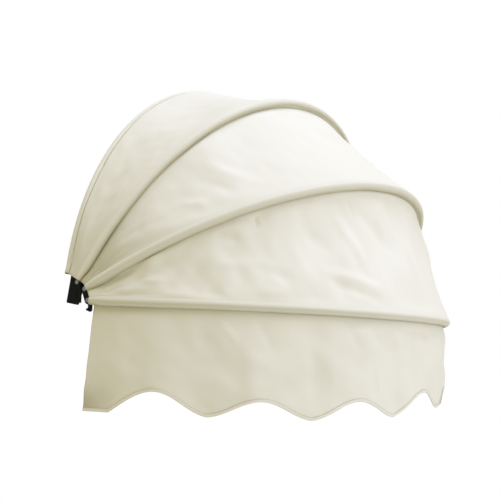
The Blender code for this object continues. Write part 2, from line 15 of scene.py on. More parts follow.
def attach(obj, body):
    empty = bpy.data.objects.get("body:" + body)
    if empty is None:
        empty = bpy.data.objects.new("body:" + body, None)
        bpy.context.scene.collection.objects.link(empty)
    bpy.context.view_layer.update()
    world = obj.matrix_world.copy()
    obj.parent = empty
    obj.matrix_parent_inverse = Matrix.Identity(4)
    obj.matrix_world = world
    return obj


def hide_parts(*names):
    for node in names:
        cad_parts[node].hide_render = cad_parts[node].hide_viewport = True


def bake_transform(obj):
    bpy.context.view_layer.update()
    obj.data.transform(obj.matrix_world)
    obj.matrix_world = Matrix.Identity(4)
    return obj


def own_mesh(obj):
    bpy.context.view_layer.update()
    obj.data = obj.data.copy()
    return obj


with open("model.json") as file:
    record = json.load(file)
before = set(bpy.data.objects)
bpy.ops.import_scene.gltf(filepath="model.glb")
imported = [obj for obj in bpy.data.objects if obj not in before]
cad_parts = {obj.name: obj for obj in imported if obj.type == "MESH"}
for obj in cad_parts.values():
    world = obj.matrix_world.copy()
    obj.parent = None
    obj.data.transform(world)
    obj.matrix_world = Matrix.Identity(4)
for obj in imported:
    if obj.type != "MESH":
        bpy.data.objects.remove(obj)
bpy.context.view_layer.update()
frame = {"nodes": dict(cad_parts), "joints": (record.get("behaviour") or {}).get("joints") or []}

# The bows, in metres: the same line that every bow of the frame is bent to
HALF_SPAN = 0.588
FOOT_LENGTH = 0.014
TILT = math.radians(4.8)
BOW_RADIUS = (HALF_SPAN - FOOT_LENGTH * math.sin(TILT)) / math.cos(TILT)
ARC_CENTRE = FOOT_LENGTH * math.cos(TILT) - BOW_RADIUS * math.sin(TILT)
BOW_LENGTH = 2 * FOOT_LENGTH + BOW_RADIUS * (math.pi - 2 * TILT)
BOWS = ("wall", "upper", "lower", "front")
ANGLES = dict(wall=90.0, upper=64.0, lower=31.5, front=0.0)
HOOPS = dict(wall="wall_frame", upper="upper_hoop", lower="lower_hoop", front="front_hoop")
WALL_PIVOT = (0.0, -0.014, 0.0377)
TUNNEL_START = dict(wall=0.0427, upper=0.011, lower=0.011, front=0.011)
COVER_START = dict(wall=0.034, upper=0.006, lower=0.006, front=0.006)

# The cloth over a bow: the tunnel lies on the tube and the cover lies on the tunnel. A turn
# is an angle about a bow, from its outward normal towards the next bow.
TUNNEL_RADIUS = 0.0104
COVER_RADIUS = 0.0116
TUNNEL_CLOTH = 0.0008
COVER_CLOTH = 0.0010
BACK_TURN = math.radians(-150)
WRAP_END = math.radians(104)
WRAP_WANDER = math.radians(5)
WRAP_LOOSE = 0.0004
PANEL_START = math.radians(138)
CLOSE_TURN = math.radians(48)
CLOSE_REACH = 0.030
PINCH = dict(upper=math.radians(8), lower=math.radians(24), front=math.radians(27))
PANEL_SAG = dict(rear_panel=0.010, middle_panel=0.008, front_panel=0.009)
END_FLARE = 0.0016
FLARE_REACH = 0.010

# The stitched hem beside the wall bow: rows at most 1 mm apart, with the groove's middle on
# one of them; where the span is short, the hem takes no more than a share of it
HEM_REACH = 0.016
HEM_ROWS = 16
HEM_ROW = 8
HEM_DEPTH = 0.0026
HEM_HALF_WIDTH = 1.3
HEM_LIMIT = 0.45

# Unevenness of the cloth: the lengths of its waves in metres, how many are added, and the
# shares of a panel over which it fades out towards the bows and the ends
WAVES = 14
BROAD_WAVES = (0.09, 0.30)
FINE_WAVES = (0.035, 0.09)
EDGE_WAVES = (0.06, 0.22)
EDGE_SIZE = 0.7
RIPPLE = dict(rear_panel=0.0022, middle_panel=0.0028, front_panel=0.0036)
FINE_SHARE = 0.22
FOLD_FADE = 0.36
REAR_FADE = 0.10
FORE_FADE = 0.12
END_FADE = 0.03

# Seeds of the random unevenness, each for its own waves
PANEL_SEED = dict(rear_panel=3, middle_panel=5, front_panel=8)
VALANCE_SEED = 31
FINE_SEED = 5
EDGE_SEED = 40
LOOSE_SEED = 50

# The valance and its edge tape; the cloth hangs shorter on its right half
VALANCE_START = 0.011
VALANCE_DROP = 0.237
SCALLOP_PITCH = 0.239
ARCH_RISES = (0.051, 0.038, 0.044, 0.045, 0.044, 0.042, 0.048)
INNER_POINT = 0.20
END_POINT = 0.90
END_ARCH = 0.106
SHORTER = 0.031
SHORTER_FROM = 0.60
SHORTER_TO = 1.02
VALANCE_SWING = 0.005
VALANCE_LEAN = 0.016
LEAN_REACH = 0.070
VALANCE_LIFT = 0.002
VALANCE_TUCK = 0.0055
TUCK_REACH = 0.030
VALANCE_FADE = 0.03
VALANCE_RIPPLE = 0.0026
VALANCE_FINE = 0.0005
VALANCE_WAVES = (0.09, 0.28)
TAPE_WIDTH = 0.0065
TAPE_CLOTH = 0.0006
TAPE_GAP = 0.0002
TAPE_SWELL = 0.0002
TAPE_FOLD = 0.0012
TAPE_STITCHES = 0.75

# Stitches: sizes in metres, the rings and sides of each, and the least of 1 - u^4 at its ends
STITCH_PITCH = 0.0048
STITCH_HALF = 0.0017
STITCH_RADIUS = 0.00035
STITCH_RINGS = 5
STITCH_SIDES = 6
STITCH_END = 0.02

# Painted shade: how dark each place of the cloth is painted, from 0 to 1, in the creases
# at the seams and about the tunnels, on the tubes' lower sides, along the wall bow's outline,
# under the front bow and towards the hinges and the valance's lower corners; and how far
# that reaches: in metres on the free cloth, and as a share of the way round a bow on the
# wrap. The tape has a share for each line of its section.
START_PAINTED_SHADE = 0.6
PAINTED_SHADE_REACH = 0.0045
LANDING_PAINTED_SHADE = 0.08
LANDING_WIDTH = 0.25
MIDDLE_PAINTED_SHADE = dict(upper=0.06, lower=0.18, front=0.30)
MIDDLE_STEP = 0.42
MIDDLE_WIDTH = 0.14
WRAP_PAINTED_SHADE = 0.68
WRAP_POWER = 2.5
EDGE_PAINTED_SHADE = 0.7
EDGE_ROWS = 2
TUNNEL_PAINTED_SHADE = 0.35
PAINTED_OUTLINE_TURN = math.radians(-50)
PAINTED_OUTLINE_WIDTH = math.radians(15)
END_PAINTED_SHADE = dict(rear_panel=0.20, middle_panel=0.50, front_panel=0.04)
END_PAINTED_SHADE_REACH = 0.16
UNDER_BOW_PAINTED_SHADE = 0.35
UNDER_REACH = 3 * PAINTED_SHADE_REACH
CORNER_PAINTED_SHADE = 0.60
CORNER_REACH = 0.06
TAPE_PAINTED_SHADE = (0.5, 0, 0, 0, 0.5, 0.6, 0.5, 0, 0, 0, 0.5)

# Grid sizes of the cloth
PANEL_COLUMNS = 361
SPAN_ROWS = 60
WRAP_ROWS = 17
TUNNEL_SIDES = 32
VALANCE_COLUMNS = 601
VALANCE_ROWS = 61

# A Mix node's two colours and its colour output
MIX_A = 6
MIX_B = 7
MIX_COLOUR = 2


def linear(code):
    """An sRGB hex colour as the linear colour that a socket takes."""
    values = [int(code[i:i + 2], 16) / 255 for i in (1, 3, 5)]
    curve = [v / 12.92 if v <= 0.04045 else ((v + 0.055) / 1.055) ** 2.4 for v in values]
    return (*curve, 1.0)


def add_node(tree, kind, settings=None, inputs=None, links=None):
    """One node with its settings, its inputs' values and the sockets that feed it."""
    node = tree.nodes.new(kind)
    for name, value in (settings or {}).items():
        setattr(node, name, value)
    for key, value in (inputs or {}).items():
        node.inputs[key].default_value = value
    for key, source in (links or {}).items():
        tree.links.new(source, node.inputs[key])
    return node


def new_material(name):
    """An empty node material and its output node."""
    material = bpy.data.materials.new(name)
    material.use_nodes = True
    material.node_tree.nodes.clear()
    output = add_node(material.node_tree, "ShaderNodeOutputMaterial")
    return material, material.node_tree, output


def cover_cloth():
    """Solution-dyed polyester awning cloth, plain woven and lightly coated.

    It scatters almost all light, so it has no gloss of its own; the threads show only from
    near, and the dye varies by a shade from one hand's width to the next. Painted shade
    darkens it towards olive in the creases at the seams, on the tubes' lower sides and
    towards the hinges.
    """
    material, tree, output = new_material("cream polyester awning cloth")
    metric = add_node(tree, "ShaderNodeTexCoord").outputs["UV"]
    # Real threads are about 0.5 mm apart; here one over and one under take 1.2 mm
    pitch = 0.0012
    # Slubs are about 6 mm long, and the dye's shades 140 mm
    slub_length = 0.00625
    shade_length = 1 / 7
    weave_share = 0.35
    threads = add_node(tree, "ShaderNodeMapping", inputs={"Scale": (2 * math.pi / pitch,) * 3},
                       links={"Vector": metric})
    axes = add_node(tree, "ShaderNodeSeparateXYZ", links={"Vector": threads.outputs[0]})
    warp = add_node(tree, "ShaderNodeMath", {"operation": "SINE"}, links={0: axes.outputs["X"]})
    weft = add_node(tree, "ShaderNodeMath", {"operation": "SINE"}, links={0: axes.outputs["Y"]})
    weave = add_node(tree, "ShaderNodeMath", {"operation": "MULTIPLY"},
                     links={0: warp.outputs[0], 1: weft.outputs[0]})
    slub = add_node(tree, "ShaderNodeTexNoise", inputs={"Scale": 1 / slub_length, "Detail": 3.0},
                    links={"Vector": metric})
    relief = add_node(tree, "ShaderNodeMath", {"operation": "MULTIPLY_ADD"},
                      inputs={1: weave_share},
                      links={0: weave.outputs[0], 2: slub.outputs["Fac"]})
    bump = add_node(tree, "ShaderNodeBump", inputs={"Strength": 0.25, "Distance": 0.0002},
                    links={"Height": relief.outputs[0]})
    shade = add_node(tree, "ShaderNodeTexNoise", inputs={"Scale": 1 / shade_length, "Detail": 2.0},
                     links={"Vector": metric})
    colour = add_node(tree, "ShaderNodeMix", {"data_type": "RGBA"},
                      inputs={MIX_A: linear("#F6F5EF"), MIX_B: linear("#FBFAF6")},
                      links={0: shade.outputs["Fac"]})
    # Painted shade: the cloth's attribute mixes it towards a dark olive where shade falls.
    seam = add_node(tree, "ShaderNodeAttribute", {"attribute_name": "seam"})
    painted_shade = add_node(tree, "ShaderNodeMix", {"data_type": "RGBA"}, inputs={MIX_B: linear("#A69E68")},
                    links={0: seam.outputs["Fac"], MIX_A: colour.outputs[MIX_COLOUR]})
    shader = add_node(tree, "ShaderNodeBsdfPrincipled",
                      inputs={"Roughness": 0.88, "Specular IOR Level": 0.25,
                              "Sheen Weight": 0.08, "Sheen Roughness": 0.5},
                      links={"Base Color": painted_shade.outputs[MIX_COLOUR], "Normal": bump.outputs[0]})
    tree.links.new(shader.outputs[0], output.inputs[0])
    return material


def moulded_nylon():
    """Black glass-filled nylon, moulded: a dull skin with a fine spark-eroded grain."""
    material, tree, output = new_material("black glass-filled nylon")
    place = add_node(tree, "ShaderNodeTexCoord").outputs["Object"]
    # Grain of 0.8 mm, twice the real one, so that it shows; flow marks are 22 mm wide
    grain_width = 0.0008
    flow_width = 1 / 45
    grain = add_node(tree, "ShaderNodeTexNoise", inputs={"Scale": 1 / grain_width, "Detail": 2.0},
                     links={"Vector": place})
    flow = add_node(tree, "ShaderNodeTexNoise", inputs={"Scale": 1 / flow_width, "Detail": 3.0},
                    links={"Vector": place})
    bump = add_node(tree, "ShaderNodeBump", inputs={"Strength": 0.3, "Distance": 0.0002},
                    links={"Height": grain.outputs["Fac"]})
    tone = add_node(tree, "ShaderNodeMix", {"data_type": "RGBA"},
                    inputs={MIX_A: linear("#070804"), MIX_B: linear("#0F100A")},
                    links={0: flow.outputs["Fac"]})
    rough = add_node(tree, "ShaderNodeMapRange", inputs={"To Min": 0.50, "To Max": 0.66},
                     links={"Value": flow.outputs["Fac"]})
    shader = add_node(tree, "ShaderNodeBsdfPrincipled",
                      inputs={"IOR": 1.53, "Specular IOR Level": 0.09},
                      links={"Base Color": tone.outputs[MIX_COLOUR],
                             "Roughness": rough.outputs[0], "Normal": bump.outputs[0]})
    tree.links.new(shader.outputs[0], output.inputs[0])
    return material


def sewing_thread():
    """Bonded polyester sewing thread: a shade darker than the cloth, twisted and waxed."""
    material, tree, output = new_material("bonded polyester thread")
    place = add_node(tree, "ShaderNodeTexCoord").outputs["Object"]
    # Strands of 0.2 mm
    strand_width = 0.0002
    strand = add_node(tree, "ShaderNodeTexNoise", inputs={"Scale": 1 / strand_width, "Detail": 1.0},
                      links={"Vector": place})
    tone = add_node(tree, "ShaderNodeMix", {"data_type": "RGBA"},
                    inputs={MIX_A: linear("#DAD6C6"), MIX_B: linear("#EBE8DC")},
                    links={0: strand.outputs["Fac"]})
    shader = add_node(tree, "ShaderNodeBsdfPrincipled",
                      inputs={"Roughness": 0.6, "Sheen Weight": 0.15},
                      links={"Base Color": tone.outputs[MIX_COLOUR]})
    tree.links.new(shader.outputs[0], output.inputs[0])
    return material


def drawn_metal(name, low, high, roughness, stretch):
    """A drawn or headed metal: fine lines or grains blur what it mirrors.

    The stretch is one over the marks' size in metres along each axis.
    """
    material, tree, output = new_material(name)
    place = add_node(tree, "ShaderNodeTexCoord").outputs["Object"]
    drawn = add_node(tree, "ShaderNodeMapping", inputs={"Scale": stretch}, links={"Vector": place})
    lines = add_node(tree, "ShaderNodeTexNoise", inputs={"Scale": 1.0, "Detail": 4.0},
                     links={"Vector": drawn.outputs[0]})
    tone = add_node(tree, "ShaderNodeMix", {"data_type": "RGBA"},
                    inputs={MIX_A: linear(low), MIX_B: linear(high)},
                    links={0: lines.outputs["Fac"]})
    spread = 0.06
    rough = add_node(tree, "ShaderNodeMapRange",
                     inputs={"To Min": roughness - spread, "To Max": roughness + spread},
                     links={"Value": lines.outputs["Fac"]})
    shader = add_node(tree, "ShaderNodeBsdfPrincipled", inputs={"Metallic": 1.0},
                      links={"Base Color": tone.outputs[MIX_COLOUR],
                             "Roughness": rough.outputs[0]})
    tree.links.new(shader.outputs[0], output.inputs[0])
    return material


def pivots():
    """Where each bow's feet turn: the wall bow's own point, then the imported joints."""
    places = {"wall": np.array(WALL_PIVOT)}
    for joint in frame["joints"]:
        places[joint["name"].replace("_fold", "")] = np.array(joint["pos_m"], float)
    return places


PIVOTS = pivots()


def bow_line(bow, length):
    """World centres of a bow at lengths from its left pivot, and its two normals.

    The line is a straight foot that leans inwards and then an arc tangent to it. The first
    normal points out of the arc in the bow's plane; the second is square to that plane,
    towards the next bow.
    """
    from_foot = np.minimum(length, BOW_LENGTH - length)
    angle = TILT + np.maximum(from_foot - FOOT_LENGTH, 0) / BOW_RADIUS
    on_foot = from_foot < FOOT_LENGTH
    side = np.where(length > BOW_LENGTH / 2, 1.0, -1.0)
    foot_wide = HALF_SPAN - from_foot * math.sin(TILT)
    wide = np.where(on_foot, foot_wide, BOW_RADIUS * np.cos(angle))
    foot_reach = from_foot * math.cos(TILT)
    reach = np.where(on_foot, foot_reach, ARC_CENTRE + BOW_RADIUS * np.sin(angle))
    lift = math.radians(ANGLES[bow])
    up = np.array([0.0, -math.cos(lift), math.sin(lift)])
    across = np.array([1.0, 0.0, 0.0])
    ahead = np.array([0.0, -math.sin(lift), -math.cos(lift)])
    centre = PIVOTS[bow] + (side * wide)[..., None] * across + reach[..., None] * up
    outward = (side * np.cos(angle))[..., None] * across + np.sin(angle)[..., None] * up
    return centre, outward, np.broadcast_to(ahead, centre.shape)


def bow_lengths(start, share):
    """Lengths along a bow at shares of its cloth, which starts at the given length."""
    return start + share * (BOW_LENGTH - 2 * start)


def around(bow, share, turn, radius, starts=COVER_START):
    """Points about a bow at an angle from its outward normal towards the next bow."""
    centre, outward, ahead = bow_line(bow, bow_lengths(starts[bow], share))
    turn = np.asarray(turn)[..., None]
    radius = np.asarray(radius)[..., None]
    return centre + radius * (np.cos(turn) * outward + np.sin(turn) * ahead)


def direction_to(bow, share, points):
    """The angle about a bow at which points lie, and their distance from its centre line."""
    centre, outward, ahead = bow_line(bow, bow_lengths(COVER_START[bow], share))
    away = points - centre
    out = np.sum(away * outward, -1)
    fore = np.sum(away * ahead, -1)
    return np.arctan2(fore, out), np.hypot(out, fore)


def closing(bow, share):
    """How near a place is to the end of a bow's cloth: 1 at the end, 0 beyond a few cm."""
    length = bow_lengths(COVER_START[bow], share)
    from_end = np.minimum(length, BOW_LENGTH - length) - COVER_START[bow]
    return np.exp(-(from_end / CLOSE_REACH) ** 2)


def leaving_turn(rear, fore, share):
    """Where a panel leaves its rear bow.

    The cover comes round the wall bow from behind and leaves on the common tangent to the
    next bow. At the other bows it starts under the cloth that ends there, and nearer the
    outside at the bow's ends, where it passes over the hinge.
    """
    if rear != "wall":
        return PANEL_START + (CLOSE_TURN - PANEL_START) * closing(rear, share)
    fore_centre, _, _ = bow_line(fore, bow_lengths(COVER_START[fore], share))
    turn, _ = direction_to(rear, share, fore_centre)
    return turn - math.pi / 2


def tangent_turn(bow, share, points):
    """The angle about a bow at which a taut cloth from the given points first touches it."""
    turn, distance = direction_to(bow, share, points)
    return turn + np.arccos(np.clip(COVER_RADIUS / distance, 0, 1))


def smooth(x):
    """The smooth step 3x2 - 2x3 between 0 and 1."""
    x = np.clip(x, 0, 1)
    return x * x * (3 - 2 * x)


def normals(grid):
    """Unit normals of a grid surface: the cross product of its two directions."""
    across = np.gradient(grid, axis=1)
    down = np.gradient(grid, axis=0)
    cross = np.cross(across, down)
    return cross / np.maximum(np.linalg.norm(cross, axis=2, keepdims=True), 1e-12)


def metric_map(grid):
    """Cloth coordinates in metres: mean length along the rows, and down the columns."""
    along = np.linalg.norm(np.diff(grid, axis=1), axis=2).mean(0)
    down = np.linalg.norm(np.diff(grid, axis=0), axis=2).mean(1)
    s = np.concatenate([[0], np.cumsum(along)])
    t = np.concatenate([[0], np.cumsum(down)])
    return np.stack(np.meshgrid(s, t), -1)


def cloth_mesh(name, grid, material, thickness, seam=0.0, closed=False):
    """A mesh over a grid of points, with metric UVs, shares of painted shade and a cloth thickness."""
    rows, columns, _ = grid.shape
    index = np.arange(rows * columns).reshape(rows, columns)
    if closed:
        index = np.vstack([index, index[:1]])
    quads = np.stack([index[:-1, :-1], index[1:, :-1], index[1:, 1:], index[:-1, 1:]], -1)
    quads = quads.reshape(-1, 4)
    mesh = bpy.data.meshes.new(name)
    mesh.from_pydata(grid.reshape(-1, 3).tolist(), [], quads.tolist())
    mesh.polygons.foreach_set("use_smooth", np.ones(len(quads), bool))
    plan = metric_map(np.concatenate([grid, grid[:1]]) if closed else grid)
    corner = np.arange(index.size).reshape(index.shape)
    corners = np.stack([corner[:-1, :-1], corner[1:, :-1], corner[1:, 1:], corner[:-1, 1:]], -1)
    layer = mesh.uv_layers.new(name="cloth")
    layer.data.foreach_set("uv", plan.reshape(-1, 2)[corners.reshape(-1)].ravel())
    # Painted shade: a share from 0 to 1 per point, which the cloth material mixes towards dark olive.
    painted_shade = mesh.attributes.new("seam", "FLOAT", "POINT")
    painted_shade.data.foreach_set("value", np.broadcast_to(seam, (rows, columns)).ravel().astype(np.float32))
    mesh.materials.append(material)
    mesh.validate()
    item = bpy.data.objects.new(name, mesh)
    bpy.context.scene.collection.objects.link(item)
    wall = item.modifiers.new("cloth", "SOLIDIFY")
    wall.thickness = thickness
    wall.offset = 0.0
    wall.use_even_offset = False
    return item


def folds(plan, rows):
    """Height of listed soft folds over a cloth plan in metres.

    Each fold is (from s, from t, to s, to t, height, half width): a bell-shaped ridge, or
    with a negative height a groove, along a straight line that fades out at both its ends.
    """
    height = np.zeros(plan.shape[:2])
    for from_s, from_t, to_s, to_t, rise, width in rows:
        start = np.array([from_s, from_t])
        run = np.array([to_s, to_t]) - start
        length = np.hypot(*run)
        along = ((plan - start) @ run) / length ** 2
        aside = ((plan - start) @ np.array([-run[1], run[0]])) / length
        fade = np.exp(-((along - 0.5) / FOLD_FADE) ** 4)
        height += rise * fade * np.exp(-(aside / width) ** 2)
    return height


def ripple(plan, seed, amplitude, waves):
    """A slow random unevenness: a sum of sine waves with lengths between the two given."""
    chance = np.random.default_rng(seed)
    size = np.zeros(plan.shape[:2])
    for _ in range(WAVES):
        wave = chance.uniform(*waves)
        turn = chance.uniform(0, 2 * math.pi)
        run = plan @ np.array([math.cos(turn), math.sin(turn)])
        size += np.sin(2 * math.pi * run / wave + chance.uniform(0, 2 * math.pi))
    return amplitude * size / math.sqrt(WAVES)


def wander(length, seed):
    """A slow random line between about -1 and 1 along a bow."""
    plan = np.stack([length, np.zeros_like(length)], -1)[None]
    return ripple(plan, seed, EDGE_SIZE, EDGE_WAVES)[0]


def hem_shares(length):
    """Shares of the span where its rows lie: the hem's close rows, then even ones."""
    near = np.minimum(HEM_REACH, HEM_LIMIT * length) / length
    close = np.linspace(0, 1, HEM_ROWS, endpoint=False)[:, None] * near
    rest = near + (1 - near) * np.linspace(0, 1, SPAN_ROWS)[:, None]
    return np.concatenate([close, rest])


def hem_groove(v):
    """The hem's bell-shaped groove over the rows of the rear panel's free part."""
    row = np.arange(len(v))[:, None]
    return np.exp(-((row - HEM_ROW) / HEM_HALF_WIDTH) ** 2)


def relief(name, span, v, share):
    """Height of the cloth of a panel over its taut surface: folds, ripples and the hem."""
    plan = metric_map(span)
    seed = PANEL_SEED[name]
    hold = smooth(v / REAR_FADE) * smooth((1 - v) / FORE_FADE)
    hold = hold * smooth(share / END_FADE) * smooth((1 - share) / END_FADE)
    height = folds(plan, PANEL_FOLDS[name]) + ripple(plan, seed, RIPPLE[name], BROAD_WAVES)
    height = height + ripple(plan, seed + FINE_SEED, FINE_SHARE * RIPPLE[name], FINE_WAVES)
    height = height * hold
    if name == "rear_panel":
        height = height - HEM_DEPTH * hem_groove(v)
    return height


def cover_radius(rear, length):
    """Radius of the cover about its rear bow: flared at the wall bow's ends, over the arms."""
    if rear != "wall":
        return np.full_like(length, COVER_RADIUS - COVER_CLOTH)
    from_end = np.minimum(length, BOW_LENGTH - length) - COVER_START[rear]
    return COVER_RADIUS + END_FLARE * np.exp(-(from_end / FLARE_REACH) ** 2)


def taut_span(name, rear, fore, share):
    """The free part of a panel between its two bows.

    Straight lines run from the rear bow to where they touch the fore bow, drawn in by a
    sine in both directions. Returns the grid, each point's share v of the way, and the
    turns at which the cloth leaves one bow and lands on the other.
    """
    leave = leaving_turn(rear, fore, share)
    start = around(rear, share, leave, cover_radius(rear, bow_lengths(COVER_START[rear], share)))
    landing = tangent_turn(fore, share, start) - PINCH[fore]
    end = around(fore, share, landing, COVER_RADIUS)
    v = hem_shares(np.linalg.norm(end - start, axis=1))
    span = start + (end - start) * v[..., None]
    inward = PIVOTS["wall"] - span
    inward /= np.linalg.norm(inward, axis=2, keepdims=True)
    sag = PANEL_SAG[name] * np.sin(np.pi * v) * np.sin(np.pi * share)[None, :]
    return span + inward * sag[..., None], v, leave, landing


def end_painted_shade(name, span):
    """Painted shade on a panel's free part, darker where the cover closes toward the hinges."""
    run = metric_map(span)[..., 0]
    from_end = np.minimum(run, run[:, -1:] - run)
    return END_PAINTED_SHADE[name] * np.exp(-(from_end / END_PAINTED_SHADE_REACH) ** 2)


def span_painted_shade(name, span, v):
    """Painted shade on a panel's free part: in the crease along its rear seam and where it lands, or
    in the wall bow's hem groove, and towards the hinges.
    """
    if name == "rear_panel":
        return np.minimum(hem_groove(v) + end_painted_shade(name, span), 1)
    down = np.linalg.norm(span - span[:1], axis=2)
    rest = np.linalg.norm(span - span[-1:], axis=2)
    seam = START_PAINTED_SHADE * np.exp(-(down / PAINTED_SHADE_REACH) ** 2)
    seam = seam + LANDING_PAINTED_SHADE * np.exp(-(rest / PAINTED_SHADE_REACH) ** 2)
    return np.minimum(seam + end_painted_shade(name, span), 1)


def wrap_painted_shade(fore, steps):
    """Painted shade on the wrap round a fore bow, at steps from 0 at its landing to 1 at its edge.

    There is a bell of painted shade at the landing and one near the middle, and a smooth step
    to a power rises towards the sewn edge on the tube's shaded lower side, whose last rows
    have a share of their own.
    """
    seam = LANDING_PAINTED_SHADE * np.exp(-(steps / LANDING_WIDTH) ** 2)
    seam = seam + WRAP_PAINTED_SHADE * smooth(steps) ** WRAP_POWER
    seam = seam + MIDDLE_PAINTED_SHADE[fore] * np.exp(-((steps - MIDDLE_STEP) / MIDDLE_WIDTH) ** 2)
    seam = np.minimum(seam, 1)
    seam[-EDGE_ROWS:] = EDGE_PAINTED_SHADE
    return seam


def panel_grid(name, rear, fore):
    """A cover panel from its rear bow over its fore bow to the seam there.

    At the wall bow the cloth first comes round the bow from behind. Returns the grid, each
    point's share of the way from the rear bow's body to the fore bow's, and its share of
    painted shade.
    """
    share = np.linspace(0, 1, PANEL_COLUMNS)
    length = bow_lengths(COVER_START[rear], share)
    span, v, leave, landing = taut_span(name, rear, fore, share)
    span = span - normals(span) * relief(name, span, v, share)[..., None]
    steps = np.linspace(0, 1, WRAP_ROWS)[1:, None]
    seed = PANEL_SEED[name]
    last = WRAP_END + WRAP_WANDER * wander(length, seed + EDGE_SEED)
    last = last + (CLOSE_TURN - last) * closing(fore, share)
    turn = landing[None, :] + (last - landing)[None, :] * steps
    loose = WRAP_LOOSE * (1 + wander(length, seed + LOOSE_SEED)) * smooth(steps)
    parts = [span, around(fore, share, turn, COVER_RADIUS + loose)]
    weights = [v, np.ones_like(turn)]
    painted_shades = [span_painted_shade(name, span, v), wrap_painted_shade(fore, steps) * np.ones_like(turn)]
    if rear == "wall":
        back = BACK_TURN + (leave - BACK_TURN)[None, :] * np.linspace(0, 1, WRAP_ROWS)[:-1, None]
        parts.insert(0, around(rear, share, back, cover_radius(rear, length)))
        weights.insert(0, np.zeros_like(back))
        # Painted shade: a grey line along the outline of the cloth round the wall bow.
        painted_outline = PAINTED_OUTLINE_TURN * np.abs(np.cos(math.pi * share))
        painted_shades.insert(0, np.exp(-((back - painted_outline) / PAINTED_OUTLINE_WIDTH) ** 2))
    return np.concatenate(parts), np.concatenate(weights), np.concatenate(painted_shades)


# Folds of each panel: from s, from t, to s, to t, height, half width, in metres
PANEL_FOLDS = {
    "rear_panel": [
        (0.21, 0.06, 0.30, 0.12, -0.0035, 0.018),
        (0.19, 0.10, 0.26, 0.15, 0.0025, 0.012),
        (0.38, 0.05, 0.46, 0.13, 0.0025, 0.020),
        (0.55, 0.04, 0.60, 0.13, -0.0020, 0.018),
        (0.98, 0.05, 1.06, 0.13, 0.0030, 0.020),
        (1.30, 0.04, 1.24, 0.13, -0.0030, 0.018),
    ],
    "middle_panel": [
        (0.39, 0.05, 0.46, 0.16, 0.0035, 0.018),
        (0.35, 0.07, 0.42, 0.18, -0.0035, 0.016),
        (0.29, 0.12, 0.34, 0.17, 0.0030, 0.013),
        (0.13, 0.07, 0.20, 0.12, -0.0035, 0.020),
        (0.21, 0.04, 0.25, 0.10, 0.0025, 0.016),
        (0.72, 0.05, 0.83, 0.16, 0.0022, 0.020),
        (0.97, 0.04, 0.91, 0.16, -0.0022, 0.020),
        (1.12, 0.05, 1.20, 0.16, 0.0030, 0.018),
        (1.40, 0.05, 1.34, 0.15, -0.0030, 0.016),
    ],
    "front_panel": [
        (0.665, 0.015, 0.83, 0.125, -0.0045, 0.015),
        (0.61, 0.02, 0.70, 0.16, 0.0055, 0.016),
        (0.54, 0.140, 0.73, 0.180, 0.0060, 0.011),
        (0.56, 0.165, 0.70, 0.195, -0.0025, 0.008),
        (0.53, 0.06, 0.60, 0.11, -0.0048, 0.018),
        (0.414, 0.008, 0.422, 0.040, -0.0042, 0.005),
        (0.672, 0.010, 0.695, 0.060, -0.0025, 0.006),
        (0.12, 0.10, 0.20, 0.13, 0.0035, 0.018),
        (0.31, 0.02, 0.38, 0.06, -0.0050, 0.013),
        (0.27, 0.09, 0.47, 0.14, 0.0030, 0.018),
        (0.36, 0.11, 0.50, 0.17, -0.0028, 0.015),
        (0.80, 0.03, 0.90, 0.16, 0.0035, 0.016),
        (1.05, 0.02, 1.16, 0.15, -0.0040, 0.016),
        (1.12, 0.03, 1.20, 0.16, 0.0035, 0.015),
        (1.45, 0.03, 1.36, 0.13, -0.0038, 0.016),
    ],
}


def blend_by(piece):
    """Bake a piece's placement into its mesh."""
    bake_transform(piece)


def make_panel(name, rear, fore, cloth):
    """One cover panel between the two bows that it joins."""
    grid, weights, painted_shades = panel_grid(name, rear, fore)
    panel = cloth_mesh(name + "_cloth", grid, cloth, COVER_CLOTH, painted_shades)
    blend_by(panel)
    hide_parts(name)
    return grid, weights


